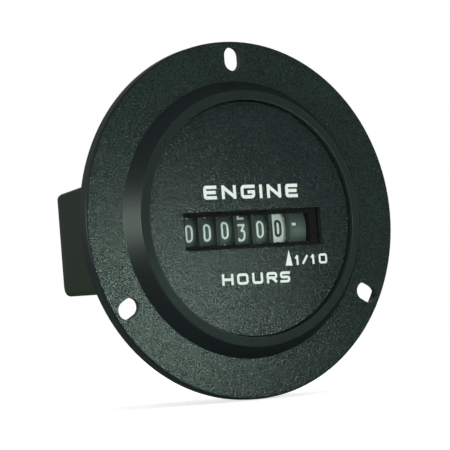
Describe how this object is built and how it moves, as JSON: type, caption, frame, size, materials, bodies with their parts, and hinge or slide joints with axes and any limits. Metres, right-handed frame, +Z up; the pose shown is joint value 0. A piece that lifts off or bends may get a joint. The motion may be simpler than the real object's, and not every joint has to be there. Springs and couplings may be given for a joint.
{
  "type": "hour meter",
  "caption": "Round panel hour meter: slotted flange, drum counter behind a window, and a stepper movement with blade terminals in the case behind.",
  "frame": {"origin": "centre of the flange's back face, on the panel plane", "axes": "+Z up, +X to the right of the face, +Y into the panel, so the face looks along -Y"},
  "size_m": [0.071, 0.0581, 0.071],
  "materials": {
    "bezel_plastic": "spark-eroded grain, moulded",
    "face_plastic": "spark-eroded grain, moulded",
    "clear_plastic": "polished, clear",
    "case_plastic": "smooth moulded",
    "tinned_brass": "tin plated",
    "frame_plastic": "smooth moulded",
    "steel_pin": "ground",
    "black_wheel_plastic": "satin moulded",
    "white_wheel_plastic": "satin moulded",
    "pinion_plastic": "natural acetal",
    "gear_plastic": "natural acetal",
    "magnet": "sintered, plated",
    "stator_steel": "annealed strip",
    "bobbin_plastic": "moulded",
    "copper_wire": "enamelled copper",
    "board_laminate": "solder mask",
    "chip_epoxy": "moulded epoxy",
    "metal_can": "plated can",
    "capacitor_sleeve": "shrink sleeve",
    "resistor_coat": "lacquer"
  },
  "bodies": {
    "housing": {"bezel_flange": "bezel_plastic", "face_plate": "face_plastic", "window_lens": "clear_plastic", "rear_case": "case_plastic", "terminal_left": "tinned_brass", "terminal_right": "tinned_brass", "counter_frame": "frame_plastic", "wheel_shaft": "steel_pin", "pinion_shaft": "steel_pin", "idler_pin": "steel_pin", "stator": "stator_steel", "coil_core": "stator_steel", "coil_bobbin": "bobbin_plastic", "coil_winding": "copper_wire", "motor_bridge": "gear_plastic", "circuit_board": "board_laminate", "timer_chip": "chip_epoxy", "quartz_crystal": "metal_can", "storage_capacitor": "capacitor_sleeve", "surge_resistor": "resistor_coat", "input_diode": "chip_epoxy"},
    "run_indicator": {"run_indicator": "black_wheel_plastic"},
    "wheel_tenths": {"wheel_tenths": "white_wheel_plastic"},
    "wheel_ones": {"wheel_ones": "black_wheel_plastic"},
    "wheel_tens": {"wheel_tens": "black_wheel_plastic"},
    "wheel_hundreds": {"wheel_hundreds": "black_wheel_plastic"},
    "wheel_thousands": {"wheel_thousands": "black_wheel_plastic"},
    "wheel_ten_thousands": {"wheel_ten_thousands": "black_wheel_plastic"},
    "transfer_pinion_1": {"transfer_pinion_1": "pinion_plastic"},
    "transfer_pinion_2": {"transfer_pinion_2": "pinion_plastic"},
    "transfer_pinion_3": {"transfer_pinion_3": "pinion_plastic"},
    "transfer_pinion_4": {"transfer_pinion_4": "pinion_plastic"},
    "transfer_pinion_5": {"transfer_pinion_5": "pinion_plastic"},
    "transfer_pinion_6": {"transfer_pinion_6": "pinion_plastic"},
    "reduction_gear": {"reduction_gear": "gear_plastic"},
    "rotor": {"rotor_arbor": "gear_plastic", "rotor_magnet": "magnet"}
  },
  "joints": [
    {"name": "run_indicator_turn", "type": "hinge", "parent": "housing", "child": "run_indicator", "pos_m": [0, 0.00495, -0.0021], "axis": [-1, 0, 0], "continuous": true},
    {"name": "wheel_tenths_turn", "type": "hinge", "parent": "housing", "child": "wheel_tenths", "pos_m": [0, 0.00495, -0.0021], "axis": [-1, 0, 0], "continuous": true},
    {"name": "wheel_ones_turn", "type": "hinge", "parent": "housing", "child": "wheel_ones", "pos_m": [0, 0.00495, -0.0021], "axis": [-1, 0, 0], "continuous": true},
    {"name": "wheel_tens_turn", "type": "hinge", "parent": "housing", "child": "wheel_tens", "pos_m": [0, 0.00495, -0.0021], "axis": [-1, 0, 0], "continuous": true},
    {"name": "wheel_hundreds_turn", "type": "hinge", "parent": "housing", "child": "wheel_hundreds", "pos_m": [0, 0.00495, -0.0021], "axis": [-1, 0, 0], "continuous": true},
    {"name": "wheel_thousands_turn", "type": "hinge", "parent": "housing", "child": "wheel_thousands", "pos_m": [0, 0.00495, -0.0021], "axis": [-1, 0, 0], "continuous": true},
    {"name": "wheel_ten_thousands_turn", "type": "hinge", "parent": "housing", "child": "wheel_ten_thousands", "pos_m": [0, 0.00495, -0.0021], "axis": [-1, 0, 0], "continuous": true},
    {"name": "transfer_pinion_1_turn", "type": "hinge", "parent": "housing", "child": "transfer_pinion_1", "pos_m": [0, 0.00989, 0.0047], "axis": [-1, 0, 0], "continuous": true},
    {"name": "transfer_pinion_2_turn", "type": "hinge", "parent": "housing", "child": "transfer_pinion_2", "pos_m": [0, 0.00989, 0.0047], "axis": [-1, 0, 0], "continuous": true},
    {"name": "transfer_pinion_3_turn", "type": "hinge", "parent": "housing", "child": "transfer_pinion_3", "pos_m": [0, 0.00989, 0.0047], "axis": [-1, 0, 0], "continuous": true},
    {"name": "transfer_pinion_4_turn", "type": "hinge", "parent": "housing", "child": "transfer_pinion_4", "pos_m": [0, 0.00989, 0.0047], "axis": [-1, 0, 0], "continuous": true},
    {"name": "transfer_pinion_5_turn", "type": "hinge", "parent": "housing", "child": "transfer_pinion_5", "pos_m": [0, 0.00989, 0.0047], "axis": [-1, 0, 0], "continuous": true},
    {"name": "transfer_pinion_6_turn", "type": "hinge", "parent": "housing", "child": "transfer_pinion_6", "pos_m": [0, 0.00989, 0.0047], "axis": [-1, 0, 0], "continuous": true},
    {"name": "reduction_gear_turn", "type": "hinge", "parent": "housing", "child": "reduction_gear", "pos_m": [0, 0.01195, -0.0021], "axis": [-1, 0, 0], "continuous": true},
    {"name": "rotor_turn", "type": "hinge", "parent": "housing", "child": "rotor", "pos_m": [0, 0.01811, -0.0021], "axis": [-1, 0, 0], "continuous": true}
  ],
  "couplings": [
    {"joint": "wheel_tenths_turn", "follows": "run_indicator_turn", "ratio": 0.1},
    {"joint": "wheel_ones_turn", "follows": "run_indicator_turn", "ratio": 0.01},
    {"joint": "wheel_tens_turn", "follows": "run_indicator_turn", "ratio": 0.001},
    {"joint": "wheel_hundreds_turn", "follows": "run_indicator_turn", "ratio": 0.0001},
    {"joint": "wheel_thousands_turn", "follows": "run_indicator_turn", "ratio": 0.00001},
    {"joint": "wheel_ten_thousands_turn", "follows": "run_indicator_turn", "ratio": 0.000001},
    {"joint": "transfer_pinion_1_turn", "follows": "run_indicator_turn", "ratio": -0.0000025},
    {"joint": "transfer_pinion_2_turn", "follows": "run_indicator_turn", "ratio": -0.000025},
    {"joint": "transfer_pinion_3_turn", "follows": "run_indicator_turn", "ratio": -0.00025},
    {"joint": "transfer_pinion_4_turn", "follows": "run_indicator_turn", "ratio": -0.0025},
    {"joint": "transfer_pinion_5_turn", "follows": "run_indicator_turn", "ratio": -0.025},
    {"joint": "transfer_pinion_6_turn", "follows": "run_indicator_turn", "ratio": -0.25},
    {"joint": "reduction_gear_turn", "follows": "run_indicator_turn", "ratio": -6},
    {"joint": "rotor_turn", "follows": "run_indicator_turn", "ratio": 36}
  ]
}
